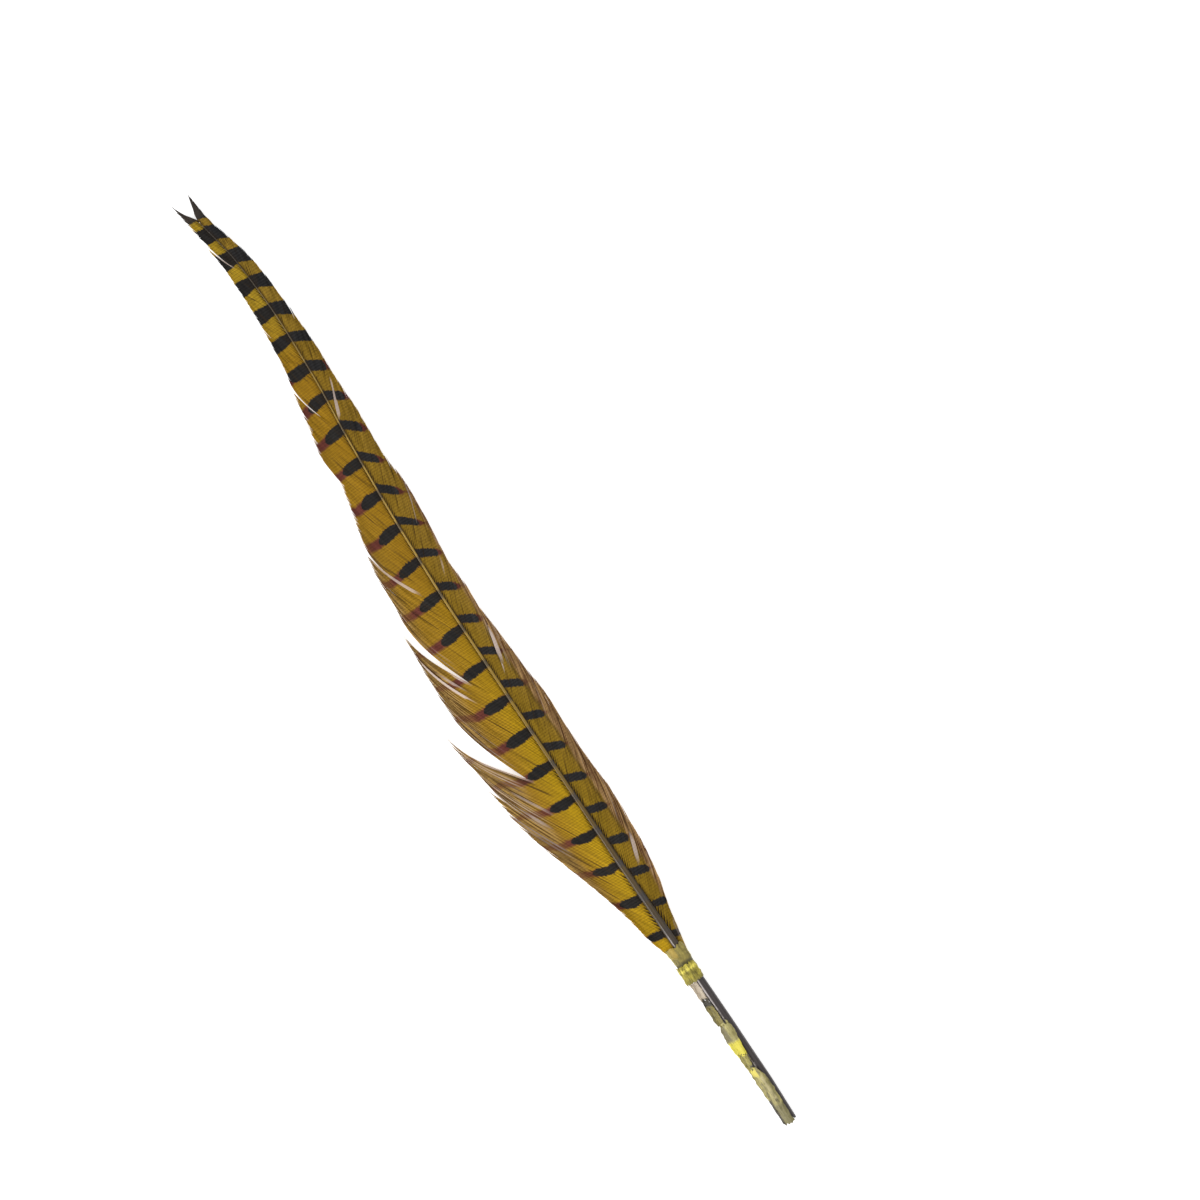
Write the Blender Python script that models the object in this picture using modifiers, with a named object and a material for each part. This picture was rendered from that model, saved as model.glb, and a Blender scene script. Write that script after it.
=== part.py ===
"""A golden, black-barred pheasant tail feather, lying with its upper side up.

Frame: +X runs along the feather to its tip, +Y to its left vane, +Z up. The origin is on the surface
that the feather lies on, under the middle of its outline. A station is a distance in millimetres along
the feather from the quill's cut end, and a place across it is measured to the left of the line that
joins the quill's end to the tip.
"""

import math

import bmesh
import bpy
import numpy as np

MM = 0.001
COLLECTION = "pheasant_tail_feather"

MID_STATION = 199.0  # the station over the origin
MID_ACROSS = 7.6  # the place across the feather over the origin
CLEARANCE = 0.35  # the space left between pieces that touch on the real feather

# The shaft: places across, underside heights and radii at chosen stations
SHAFT_END = 388.0
SHAFT_BOW = [(0, -0.7), (20, -1.1), (60, -0.9), (90, -0.35), (150, 0.1), (215, 0.1), (250, -0.7)]
SHAFT_BOW += [(291, -2.9), (320, -5.2), (345, -6.0), (368, -4.9), (388, -1.5)]
SHAFT_RISE = [(0, 0), (46, 0), (58, 0.95), (78, 1.2), (120, 3.2), (200, 6.2), (280, 4.6)]
SHAFT_RISE += [(340, 2.0), (388, 0.6)]
SHAFT_RADIUS = [(0, 1.7), (46, 1.7), (62, 1.55), (85, 1.4), (110, 1.2), (150, 0.8), (210, 0.52)]
SHAFT_RADIUS += [(300, 0.32), (388, 0.17)]
SHAFT_SIDES = 12
SHAFT_RINGS = 64

# The quill's cut end: a slanting notch leaves two points, round the mouth of the hollow quill
NOTCH_DEPTH = 2.6
NOTCH_WIDTH = 1.7
HOLLOW_RADIUS = 1.15
HOLLOW_DEPTH = 9.0

# The vanes: a sheet on each side, high at the shaft and low at its outer edge
VANE_THICKNESS = 0.42
EDGE_RISE = [(70, 2.6), (115, 0.46), (265, 0.46), (330, 0.8), (388, 1.0), (400, 0.95)]
LEFT_WIDTH = [(70, 4), (100, 10), (150, 22), (180, 24), (215, 19), (250, 15), (300, 10.5)]
LEFT_WIDTH += [(350, 6.5), (400, 4)]
RIGHT_WIDTH = [(70, 3), (110, 10.5), (140, 12), (200, 10), (270, 10), (320, 7.5), (350, 5.5), (400, 3.5)]
LEFT_FOLD = 1.0  # a larger number keeps the vane high for longer before it drops
RIGHT_FOLD = 1.35

# Each lock of barbs: the stations of some of its barbs' roots, and the station and place of their tips.
# The bend is how far a barb's control point stands out from its chord, as a share of the chord.
LOCKS = {
    "left_vane_base": (1, 0.03, [(76.2, 82, 6.7), (80, 93, 9.0), (86, 112, 14.2), (95, 131, 20.1),
                                 (108, 150, 23.9), (120, 167, 25.3), (133, 183, 27.1)]),
    "left_vane_loose_lock": (1, 0.05, [(134.2, 160, 12.6), (139, 170, 17.0), (147, 186, 21.1),
                                       (160, 204, 21.2), (173.2, 223.5, 19.8)]),
    "left_vane_middle": (1, 0.05, [(174.4, 204, 12.3), (180, 213, 15.4), (188, 224, 17.2),
                                   (203, 241, 16.3), (218.2, 254, 14.8)]),
    "left_vane_upper": (1, 0.05, [(219.4, 256, 14.0), (232, 267, 11.4), (250, 283, 8.4), (262, 292, 8.5),
                                  (280, 307, 6.0), (300, 323, 3.2), (320, 339, 1.2), (340, 355, 0.2),
                                  (360, 372, 0.4), (376, 386, 1.7), (388, 398.2, 3.9)]),
    "right_vane_base": (-1, 0.07, [(76.2, 82, -4.8), (80, 94, -7.4), (86, 108, -10.2), (92, 122, -11.5),
                                   (99, 137, -12.2)]),
    "right_vane_lower": (-1, 0.07, [(100.6, 139, -12.0), (115, 155, -11.0), (138, 179, -11.6),
                                    (160, 199, -10.0), (179.4, 216, -8.7)]),
    "right_vane_middle": (-1, 0.07, [(181, 218, -8.6), (195, 232, -9.0), (208, 243, -8.5),
                                     (222, 256, -10.7), (238, 271, -11.7)]),
    "right_vane_upper": (-1, 0.07, [(239.6, 272.5, -11.3), (250, 281, -10.5), (275, 303, -11.5),
                                    (300, 326, -12.0), (320, 343, -11.7), (340, 359, -10.9),
                                    (358, 373, -8.6), (374, 386, -5.0), (388, 398.7, -3.6)]),
}
STEPS_ALONG_LOCK = 16
STEPS_ALONG_BARB = 8

# The skin collar: a flattened sleeve round the shaft
COLLAR = (60.5, 75.5)  # from and to station
COLLAR_THICKNESS = 0.25
COLLAR_CENTRE = 0.42  # its middle, across the feather
COLLAR_MIDDLE = 2.4  # its middle, above the surface that the feather lies on
COLLAR_HALF_WIDTH = [(60, 3.35), (67, 3.4), (71, 3.5), (76, 3.85)]
COLLAR_HALF_HEIGHT = 2.35
COLLAR_SQUARENESS = 0.85  # 1 is an ellipse, and smaller is squarer
COLLAR_SIDES = 24

# The sheath: a skirt that comes down from the top of the quill to the surface on its left
SHEATH_THICKNESS = 0.3
SKIRT = [(-3.4, 1.5), (-2.6, 3.3), (-1.8, 4.0), (-0.9, 4.2), (0.0, 4.0), (0.7, 3.4), (1.5, 2.2)]
SKIRT += [(2.3, 1.1), (3.7, 0.42)]
# Each flake: its two end stations, and its right and left edges at each end
FLAKES = {
    "pale_strip": (53.2, 59.8, (1.5, 3.3), (1.3, 3.5)),
    "sheath_flake_1": (43.2, 52.6, (1.3, 3.4), (1.5, 3.2)),
    "sheath_flake_2": (29.6, 42.6, (-0.3, 3.4), (-0.9, 3.4)),
    "sheath_flake_3": (23.4, 29.0, (1.3, 3.3), (1.0, 3.3)),
    "sheath_flake_4": (-0.6, 22.8, (-0.9, 2.9), (-1.4, 3.2)),
}
BAND = (60.6, 67.4)  # from and to station
BAND_REACH = (38, 168)  # from and to angle round the sleeve, in degrees from its right side
BAND_THICKNESS = 0.3


def smooth(knots, at):
    """A curve through the knots that never overshoots them: cubic pieces with slopes that are zero at
    every peak, dip and flat, and elsewhere the harmonic mean of the slopes on either side."""
    x, y = np.array(knots, float).T
    at = np.clip(np.asarray(at, float), x[0], x[-1])
    step = np.diff(x)
    rate = np.diff(y) / step
    same = rate[:-1] * rate[1:] > 0
    mean = np.zeros(len(rate) - 1)
    mean[same] = 2 * rate[:-1][same] * rate[1:][same] / (rate[:-1] + rate[1:])[same]
    slope = np.concatenate([rate[:1], mean, rate[-1:]])
    i = np.clip(np.searchsorted(x, at, side="right") - 1, 0, len(step) - 1)
    t = (at - x[i]) / step[i]
    rise = (2 * t**3 - 3 * t**2 + 1) * y[i] + (3 * t**2 - 2 * t**3) * y[i + 1]
    return rise + step[i] * ((t**3 - 2 * t**2 + t) * slope[i] + (t**3 - t**2) * slope[i + 1])


def place(station, across, height):
    """Stations, places across and heights in millimetres, as points in the feather's frame in metres."""
    points = np.stack(np.broadcast_arrays(station - MID_STATION, across - MID_ACROSS, height), axis=-1)
    return points * MM


def vane_height(side, station, out):
    """The height of a vane's upper face at a distance out from the middle of the shaft: half a cosine
    from the shaft's shoulder down to the vane's outer edge."""
    width = smooth(LEFT_WIDTH if side > 0 else RIGHT_WIDTH, station)
    fold = LEFT_FOLD if side > 0 else RIGHT_FOLD
    share = np.clip(out / width, 0, 1) ** fold
    shoulder = smooth(SHAFT_RISE, station) + 1.4 * smooth(SHAFT_RADIUS, station) + 0.2
    edge = smooth(EDGE_RISE, station)
    return edge + (shoulder - edge) * 0.5 * (1 + np.cos(math.pi * share))


def vane_surface(side, bend, barbs):
    """The surface of one lock. Across it u runs from its lowest barb to its highest and v from a barb's
    root to its tip: each barb is a quadratic curve whose control point stands out from its chord."""
    number = np.linspace(0, 1, len(barbs))

    def surface(u, v):
        root = smooth([(n, b[0]) for n, b in zip(number, barbs)], u)
        tip = smooth([(n, b[1]) for n, b in zip(number, barbs)], u)
        tip_across = smooth([(n, b[2]) for n, b in zip(number, barbs)], u)
        shaft = smooth(SHAFT_BOW, root)
        root_across = shaft + side * (smooth(SHAFT_RADIUS, root) + CLEARANCE)
        out = bend * 2 * v * (1 - v)
        station = root + (tip - root) * v - side * out * (tip_across - root_across)
        across = root_across + (tip_across - root_across) * v + side * out * (tip - root)
        distance = side * (across - smooth(SHAFT_BOW, np.minimum(station, SHAFT_END)))
        return place(station, across, vane_height(side, station, distance))

    return surface


def sleeve_point(station, angle, grow=0.0):
    """A point on the flattened sleeve round the shaft, by its angle from the sleeve's right side."""
    sideways = np.sign(np.cos(angle)) * np.abs(np.cos(angle)) ** COLLAR_SQUARENESS
    upwards = np.sign(np.sin(angle)) * np.abs(np.sin(angle)) ** COLLAR_SQUARENESS
    across = COLLAR_CENTRE - (smooth(COLLAR_HALF_WIDTH, station) + grow) * sideways
    return place(station, across, COLLAR_MIDDLE + (COLLAR_HALF_HEIGHT + grow) * upwards)


def link(shape, collection):
    collection.objects.link(shape)
    return shape


def material(name, colour, roughness):
    made = bpy.data.materials.new(name)
    made.use_nodes = True
    shader = made.node_tree.nodes["Principled BSDF"]
    shader.inputs["Base Color"].default_value = (*colour, 1)
    shader.inputs["Roughness"].default_value = roughness
    shader.inputs["Metallic"].default_value = 0
    made.diffuse_color = (*colour, 1)
    return made


def sheet(name, surface, steps, thickness, finish, collection, facing_down=False, weld=False):
    """A grid laid on the surface, with Solidify giving it its thickness on the underside."""
    bm = bmesh.new()
    bmesh.ops.create_grid(bm, x_segments=steps[0], y_segments=steps[1], size=0.5)
    share = np.array([v.co for v in bm.verts])[:, :2] + 0.5
    for vertex, point in zip(bm.verts, surface(share[:, 0], share[:, 1])):
        vertex.co = point
    if facing_down:
        bmesh.ops.reverse_faces(bm, faces=bm.faces)
    if weld:
        bmesh.ops.remove_doubles(bm, verts=bm.verts, dist=0.00001)
    mesh = bpy.data.meshes.new(name)
    bm.to_mesh(mesh)
    bm.free()
    mesh.shade_smooth()
    mesh.materials.append(finish)
    made = link(bpy.data.objects.new(name, mesh), collection)
    wall = made.modifiers.new("thickness", "SOLIDIFY")
    wall.thickness = thickness * MM
    wall.offset = -1
    return made


def shaft_curve(finish):
    """The quill and rachis as one tapering tube. Its sides are turned so that one of them faces down,
    and this side lies flat on the surface under the quill."""
    stations = np.linspace(0, 1, SHAFT_RINGS) ** 0.9 * SHAFT_END
    radii = smooth(SHAFT_RADIUS, stations)
    to_side = math.cos(math.pi / SHAFT_SIDES)
    points = place(stations, smooth(SHAFT_BOW, stations), smooth(SHAFT_RISE, stations) + radii * to_side)
    curve = bpy.data.curves.new("shaft_path", "CURVE")
    curve.dimensions = "3D"
    curve.bevel_depth = MM
    curve.bevel_resolution = (SHAFT_SIDES - 4) // 2
    curve.use_fill_caps = True
    spline = curve.splines.new("POLY")
    spline.points.add(SHAFT_RINGS - 1)
    for point, at, radius in zip(spline.points, points, radii):
        point.co = (*at, 1)
        point.radius = radius
        point.tilt = math.pi / SHAFT_SIDES
    curve.materials.append(finish)
    return bpy.data.objects.new("shaft_path", curve)


def shaft(finish, collection, cutters):
    path = link(shaft_curve(finish), collection)
    bpy.context.view_layer.update()
    solid = path.evaluated_get(bpy.context.evaluated_depsgraph_get())
    mesh = bpy.data.meshes.new_from_object(solid)
    bpy.data.objects.remove(path)
    bm = bmesh.new()
    bm.from_mesh(mesh)
    bmesh.ops.remove_doubles(bm, verts=bm.verts, dist=0.00001)
    bmesh.ops.recalc_face_normals(bm, faces=bm.faces)
    bm.to_mesh(mesh)
    bm.free()
    mesh.name = "shaft"
    mesh.shade_smooth()
    mesh.set_sharp_from_angle(angle=math.radians(40))
    made = link(bpy.data.objects.new("shaft", mesh), collection)
    for cutter in (hollow_cutter(cutters), notch_cutter(cutters)):
        cut = made.modifiers.new(cutter.name, "BOOLEAN")
        cut.operation = "DIFFERENCE"
        cut.solver = "EXACT"
        cut.object = cutter
    return made


def cutter_from(bm, name, collection):
    bmesh.ops.recalc_face_normals(bm, faces=bm.faces)
    mesh = bpy.data.meshes.new(name)
    bm.to_mesh(mesh)
    bm.free()
    made = link(bpy.data.objects.new(name, mesh), collection)
    made.hide_render = True
    made.display_type = "WIRE"
    return made


def quill_mouth():
    """The middle of the quill's cut end."""
    middle = SHAFT_RADIUS[0][1] * math.cos(math.pi / SHAFT_SIDES)
    return place(0.0, smooth(SHAFT_BOW, 0), middle)


def hollow_cutter(collection):
    bm = bmesh.new()
    bmesh.ops.create_cone(bm, cap_ends=True, segments=10, radius1=HOLLOW_RADIUS * MM,
                          radius2=HOLLOW_RADIUS * 0.55 * MM, depth=2 * HOLLOW_DEPTH * MM)
    made = cutter_from(bm, "quill_hollow_cutter", collection)
    made.location = quill_mouth()
    made.rotation_euler = (0, math.pi / 2, 0)
    return made


def notch_cutter(collection):
    """A three-sided wedge, point inwards, that splits the end of the quill from above."""
    bm = bmesh.new()
    bmesh.ops.create_cone(bm, cap_ends=True, segments=3, radius1=MM, radius2=MM, depth=10 * MM)
    bmesh.ops.scale(bm, verts=bm.verts, vec=(NOTCH_DEPTH / 1.5, NOTCH_WIDTH / 1.73, 1))
    made = cutter_from(bm, "quill_notch_cutter", collection)
    made.location = quill_mouth()
    made.rotation_euler = (0, 0, math.radians(-8))
    return made


def flake_surface(start, end, edges_at_start, edges_at_end):
    """A flake of sheath: a strip of the skirt between two edges that run straight from end to end."""

    def surface(u, v):
        right = edges_at_start[0] + (edges_at_end[0] - edges_at_start[0]) * u
        left = edges_at_start[1] + (edges_at_end[1] - edges_at_start[1]) * u
        across = right + (left - right) * v
        return place(start + (end - start) * u, across, smooth(SKIRT, across))

    return surface


def clear_scene():
    for old in list(bpy.data.objects):
        bpy.data.objects.remove(old, do_unlink=True)


def new_collection(name):
    made = bpy.data.collections.new(name)
    bpy.context.scene.collection.children.link(made)
    return made


def build():
    clear_scene()
    parts = new_collection(COLLECTION)
    cutters = new_collection("cutters")

    shaft(material("dark_horn", (0.062, 0.052, 0.050), 0.3), parts, cutters)

    steps = (STEPS_ALONG_LOCK, STEPS_ALONG_BARB)
    for name, (side, bend, barbs) in LOCKS.items():
        gold = (0.42, 0.25, 0.018) if side > 0 else (0.22, 0.13, 0.016)
        finish = material(name + "_barbs", gold, 0.6)
        sheet(name, vane_surface(side, bend, barbs), steps, VANE_THICKNESS, finish, parts, side < 0)

    def collar(u, v):
        return sleeve_point(COLLAR[0] + (COLLAR[1] - COLLAR[0]) * v, 2 * math.pi * u)

    def band(u, v):
        angle = np.radians(BAND_REACH[0] + (BAND_REACH[1] - BAND_REACH[0]) * u)
        return sleeve_point(BAND[0] + (BAND[1] - BAND[0]) * v, angle, CLEARANCE + BAND_THICKNESS)

    skin = material("dried_skin", (0.21, 0.18, 0.045), 0.7)
    sheet("skin_collar", collar, (COLLAR_SIDES, 4), COLLAR_THICKNESS, skin, parts, weld=True)
    yellow = material("yellow_sheath", (0.62, 0.52, 0.08), 0.5)
    sheet("yellow_band", band, (12, 3), BAND_THICKNESS, yellow, parts)

    for name, (start, end, at_start, at_end) in FLAKES.items():
        colour = (0.55, 0.48, 0.36) if name == "pale_strip" else (0.48, 0.42, 0.09)
        finish = material(name + "_paper", colour, 0.55)
        sheet(name, flake_surface(start, end, at_start, at_end), (6, 5), SHEATH_THICKNESS, finish, parts)


build()
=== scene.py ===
"""Looks of a golden, black-barred pheasant tail feather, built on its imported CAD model.

Lengths in this file are millimetres until place() turns them into the frame's metres. A station is a
distance along the feather from the quill's cut end, and a place across is measured to the left of the
line from the quill's end to the tip.
"""

import math

import bpy
import numpy as np
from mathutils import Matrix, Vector


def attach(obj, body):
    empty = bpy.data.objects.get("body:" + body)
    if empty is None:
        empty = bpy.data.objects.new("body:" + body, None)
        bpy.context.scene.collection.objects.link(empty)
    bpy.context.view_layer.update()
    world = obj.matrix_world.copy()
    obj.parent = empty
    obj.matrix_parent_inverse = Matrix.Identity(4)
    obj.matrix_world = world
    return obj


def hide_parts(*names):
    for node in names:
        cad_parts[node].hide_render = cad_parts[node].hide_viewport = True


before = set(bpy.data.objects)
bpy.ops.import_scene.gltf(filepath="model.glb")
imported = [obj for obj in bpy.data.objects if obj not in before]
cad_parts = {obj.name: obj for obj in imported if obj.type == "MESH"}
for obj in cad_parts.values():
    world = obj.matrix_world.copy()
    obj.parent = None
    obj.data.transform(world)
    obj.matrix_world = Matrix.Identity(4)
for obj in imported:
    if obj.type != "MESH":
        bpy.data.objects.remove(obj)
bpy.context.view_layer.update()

MM = 0.001
MID_STATION = 199.0
MID_ACROSS = 7.6
DRAW = np.random.default_rng(11)

# The shaft, as in the CAD: places across, underside heights and radii at chosen stations
SHAFT_END = 388.0
SHAFT_BOW = [(0, -0.7), (20, -1.1), (60, -0.9), (90, -0.35), (150, 0.1), (215, 0.1), (250, -0.7)]
SHAFT_BOW += [(291, -2.9), (320, -5.2), (345, -6.0), (368, -4.9), (388, -1.5)]
SHAFT_RISE = [(0, 0), (46, 0), (58, 0.95), (78, 1.2), (120, 3.2), (200, 6.2), (280, 4.6)]
SHAFT_RISE += [(340, 2.0), (388, 0.6)]
SHAFT_RADIUS = [(0, 1.7), (46, 1.7), (58, 1.68), (64, 1.55), (85, 1.4), (110, 1.2), (150, 0.8), (210, 0.52)]
SHAFT_RADIUS += [(300, 0.32), (388, 0.17)]

# The vanes' height: the edge's rise, and the width over which the roof falls to it
EDGE_RISE = [(70, 2.6), (115, 0.46), (265, 0.46), (330, 0.8), (388, 1.0), (400, 0.95)]
VANE_WIDTH = {
    1: [(70, 4), (100, 10), (150, 22), (180, 24), (215, 19), (250, 15), (300, 10.5), (350, 6.5), (400, 4)],
    -1: [(70, 3), (110, 10.5), (140, 12), (200, 10), (270, 10), (320, 7.5), (350, 5.5), (400, 3.5)],
}
VANE_FOLD = {1: 1.0, -1: 1.35}

# Every vane piece is one or more tufts of barbs. A tuft is a list of some of its barbs: the root's
# station, the tip's station and place across, and how far the barb bulges outwards from its chord at a
# third and at two thirds of its length.
TUFTS = {
    "left_vane_base": (1, [
        [(66, 77, 5.1, 0, 0), (69, 82, 6.6, 0.1, 0.1), (74, 91, 8.3, 0.2, 0.2), (80, 101, 10.8, 0.4, 0.4),
         (86, 114, 14.7, 0.5, 0.5), (92, 128, 19.1, 0.8, 0.9), (99, 143, 23.1, 0.8, 1.0),
         (106, 158.4, 25.0, 0.8, 1.1)],
        [(106.9, 163, 24.4, 1.2, 2.6), (113, 168, 25.2, 1.0, 2.0), (120, 174, 26.4, 0.4, 1.6),
         (127, 179.5, 27.1, -0.3, 1.6), (133.2, 183.8, 27.2, -1.3, 1.7)],
    ]),
    "left_vane_loose_lock": (1, [
        [(134.2, 188, 21.3, 1.4, 2.2), (141, 195, 21.3, 1.5, 2.4), (149, 202, 21.1, 1.4, 2.5),
         (157, 208.5, 20.8, 1.1, 2.5), (165, 215.2, 20.2, 0.6, 2.4)],
        [(165.9, 218, 20.1, 0.6, 2.5), (169.5, 221.8, 19.9, 0.2, 2.3), (173.4, 224.3, 19.7, -0.1, 2.2)],
    ]),
    "left_vane_middle": (1, [
        [(174.4, 229, 17.1, 1.2, 2.8), (181, 235, 16.4, 1.3, 2.6), (190, 241.5, 16.2, 1.3, 2.5),
         (199, 246.5, 15.9, 1.0, 2.2), (208, 251, 15.2, 0.8, 1.7), (218.4, 254.6, 14.7, 0.3, 1.4)],
    ]),
    "left_vane_upper": (1, [
        [(219.3, 259.3, 13.4, 1.3, 2.9), (226, 264, 12.3, 1.0, 1.9), (232, 267.5, 11.4, 0.8, 1.4),
         (240, 273.5, 9.9, 0.5, 1.0), (250, 283.6, 7.6, 0.5, 0.9)],
        [(251, 287, 8.3, 0.6, 1.0), (255, 292.5, 8.8, 0.7, 1.3), (268, 303, 6.9, 0.5, 0.9),
         (280, 311, 5.5, 0.4, 0.8), (293, 319.3, 4.3, 0.3, 0.8)],
        [(293.9, 323, 3.1, 0.6, 1.5), (304, 330.5, 1.8, 0.4, 0.8), (316, 338.5, 1.2, 0.3, 0.5),
         (328, 347, 0.6, 0.3, 0.5), (340, 356.5, 0.2, 0.2, 0.4), (351, 367, 0.2, 0.2, 0.4),
         (361, 378.4, 1.3, 0.1, 0.3)],
        [(362, 377.4, 0.3, 0.2, 0.3), (368, 382.5, 1.3, 0.2, 0.3), (376, 389, 2.2, 0.2, 0.3),
         (383, 394.5, 3.2, 0.3, 0.3), (388.3, 398.9, 3.9, 0.4, 0.4)],
    ]),
    "right_vane_base": (-1, [
        [(66, 77, -3.6, 0, 0), (70, 82, -4.8, 0.1, 0.1), (75, 90, -6.3, 0.3, 0.3), (80, 99, -8.7, 0.6, 0.6),
         (86, 112, -10.8, 0.9, 1.0),
         (92, 125, -11.6, 1.2, 1.4), (99.6, 138, -12.2, 1.3, 1.6)],
    ]),
    "right_vane_lower": (-1, [
        [(100.6, 139, -12.1, 1.3, 1.6), (110, 150, -11.3, 1.4, 1.8), (122, 162, -11.0, 1.4, 1.8),
         (138, 178, -11.6, 1.4, 1.8), (150, 189, -10.6, 1.4, 1.8), (160, 199, -10.1, 1.3, 1.7),
         (179.6, 217, -8.8, 1.2, 1.5)],
    ]),
    "right_vane_middle": (-1, [
        [(180.6, 218.5, -8.6, 1.2, 1.5), (190, 228, -9.2, 1.1, 1.4), (200, 237, -8.6, 1.0, 1.3),
         (208, 244, -9.1, 1.0, 1.3), (222, 257, -10.8, 1.0, 1.4), (238.4, 272, -11.6, 0.9, 1.3)],
    ]),
    "right_vane_upper": (-1, [
        [(239.3, 273.4, -11.4, 0.9, 1.4), (250, 281.5, -10.6, 0.8, 1.1), (262, 291, -11.0, 0.7, 1.0),
         (275, 303, -11.6, 0.7, 1.0), (288, 315, -11.5, 0.6, 0.9), (298.4, 325.5, -12.0, 0.6, 0.9)],
        [(299.4, 327, -12.1, 0.6, 0.9), (310, 335, -11.9, 0.5, 0.8), (320, 343, -11.7, 0.5, 0.8),
         (330, 351, -11.3, 0.5, 0.8), (340, 360, -10.8, 0.4, 0.7), (352, 370, -9.4, 0.4, 0.6),
         (362, 378.5, -7.4, 0.3, 0.5), (374, 388.5, -4.6, 0.2, 0.4), (382, 394.5, -3.9, 0.1, 0.2),
         (388.3, 398.8, -3.6, -0.2, -0.1)],
    ]),
}

# Barbs: how far apart they root, the rings along one, its half width as a share of the space between
# barbs and what is added to it, and how far its root dips under the shaft's shoulder
ROOT_SPACING = 0.9
RINGS_ALONG_BARB = 21
BARB_OVERLAP = 0.72
BARB_HALF_WIDTH = 0.055
ROOT_DIP = 0.3
# A barb's length as a share of its chord, how much that varies, how far its tip strays sideways, and how
# much of both is left to the first and the last barb of a tuft
BARB_LENGTH = 1.012
LENGTH_VARIES = (-0.028, 0.008)
TIP_STRAYS = 0.12
EDGE_FREEDOM = 0.3
# The four columns of a barb's ribbon: how many half widths beside its middle line, and how high
RIBBON = np.array([(-1, -0.055), (0, 0.07), (1, 0.075), (0, -0.13)])
STEM_THICKNESS = 0.10
# The shares of barbs that carry a dark hair and that are partly stripped
DARK_SHARE = 0.24
PALE_SHARE = 0.10

# Barbs stripped to their pale stems, or turned over: side, first and last root, the shares of the
# barb's length over which they are pale, how pale, and how far they lift
PALE_BARBS = [
    (1, 106.5, 107.6, 0.48, 0.95, 0.6, 0.05), (1, 109.5, 110.6, 0.44, 0.68, 0.5, 0.06),
    (1, 119.4, 121.0, 0.34, 0.67, 0.45, 0.08), (1, 132.3, 133.4, 0.36, 0.80, 0.6, 0.05),
    (1, 164.4, 165.2, 0.46, 0.99, 0.9, 0.12), (1, 167.4, 168.4, 0.48, 0.74, 0.5, 0.05),
    (1, 172.6, 173.6, 0.40, 0.62, 0.6, 0.05), (1, 217.5, 218.6, 0.36, 0.97, 0.6, 0.10),
    (1, 292.4, 293.4, 0.50, 0.98, 0.6, 0.0), (1, 360.4, 361.2, 0.35, 0.95, 0.6, 0.0),
    (-1, 96.4, 98.4, 0.27, 0.60, 0.9, 0.30), (-1, 180.9, 182.0, 0.24, 0.73, 0.9, 0.12),
    (-1, 180.2, 183.0, 0.36, 0.74, 0.95, 0.6), (-1, 220.2, 221.4, 0.34, 0.56, 0.4, 0.05),
    (-1, 238.2, 239.2, 0.45, 0.97, 0.45, 0.06), (-1, 297.6, 299.0, 0.06, 0.66, 0.7, 0.12),
    (-1, 70, 76, 0.3, 0.9, 0.25, 0.0), (-1, 123.5, 127.5, 0.80, 1.10, 0.3, 0.0),
    (-1, 213, 219, 0.78, 1.10, 0.35, 0.0),
]

# The black bars from the base to the tip. Left: the station of a bar's middle at 1, 5, 10, 14 and 20 mm
# out from the shaft, then half its width at 1 and at 5 mm. Right: the middle at 1 and 7 mm, half widths.
LEFT_OUT = [1, 5, 10, 14, 20]
LEFT_BARS = [
    (66, 67, 69, 72, 76, 1.5, 1.5), (81.3, 82, 83, 84.5, 87, 1.5, 1.75),
    (96.7, 96.9, 98.6, 100.6, 104, 1.75, 2.1),
    (111.4, 111.4, 113.1, 115, 118.5, 1.25, 1.85), (125.7, 125.7, 126.9, 127.6, 130.5, 1.4, 1.9),
    (140.3, 140.2, 140.8, 141.9, 144.8, 1.5, 1.95), (154.8, 155, 154.9, 155.3, 158.5, 1.5, 2.2),
    (169.1, 168.8, 168.9, 169, 171.8, 1.65, 2.25), (183.4, 183.2, 183.5, 183.4, 187, 1.4, 2.25),
    (198.2, 198, 197.8, 197.9, 200, 1.55, 2.05), (213.5, 213.1, 212.6, 212.6, 214, 1.7, 2.25),
    (227.9, 227.7, 227.1, 227.2, 229, 1.7, 2.15), (242.2, 241.9, 241.2, 240.9, 243.5, 1.6, 2.1),
    (256.4, 256.1, 255.4, 255.9, 258, 1.8, 2.3), (270, 270.1, 269.4, 270.8, 273, 1.9, 2.35),
    (283.7, 283.8, 283.5, 284.5, 287, 2.1, 2.1), (297.4, 297, 296.2, 297, 299, 2.4, 2.3),
    (310.3, 310.1, 309.1, 310, 312, 1.95, 2.4), (322.8, 322.8, 322.6, 323.5, 325, 2.2, 2.45),
    (335.4, 335.3, 335.3, 336, 337, 1.9, 2.4), (347.4, 347.6, 347.8, 348, 349, 2.4, 2.9),
    (359.6, 359.6, 359.7, 360, 361, 2.4, 3.05), (371, 371.3, 371.7, 372, 373, 3, 3.5),
    (382.4, 383, 384, 385, 386, 3.1, 3.5), (395.2, 396, 397, 398, 399, 6.2, 6.8),
    (412, 412, 412, 412, 412, 1, 1),
]
RIGHT_OUT = [1, 7]
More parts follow.
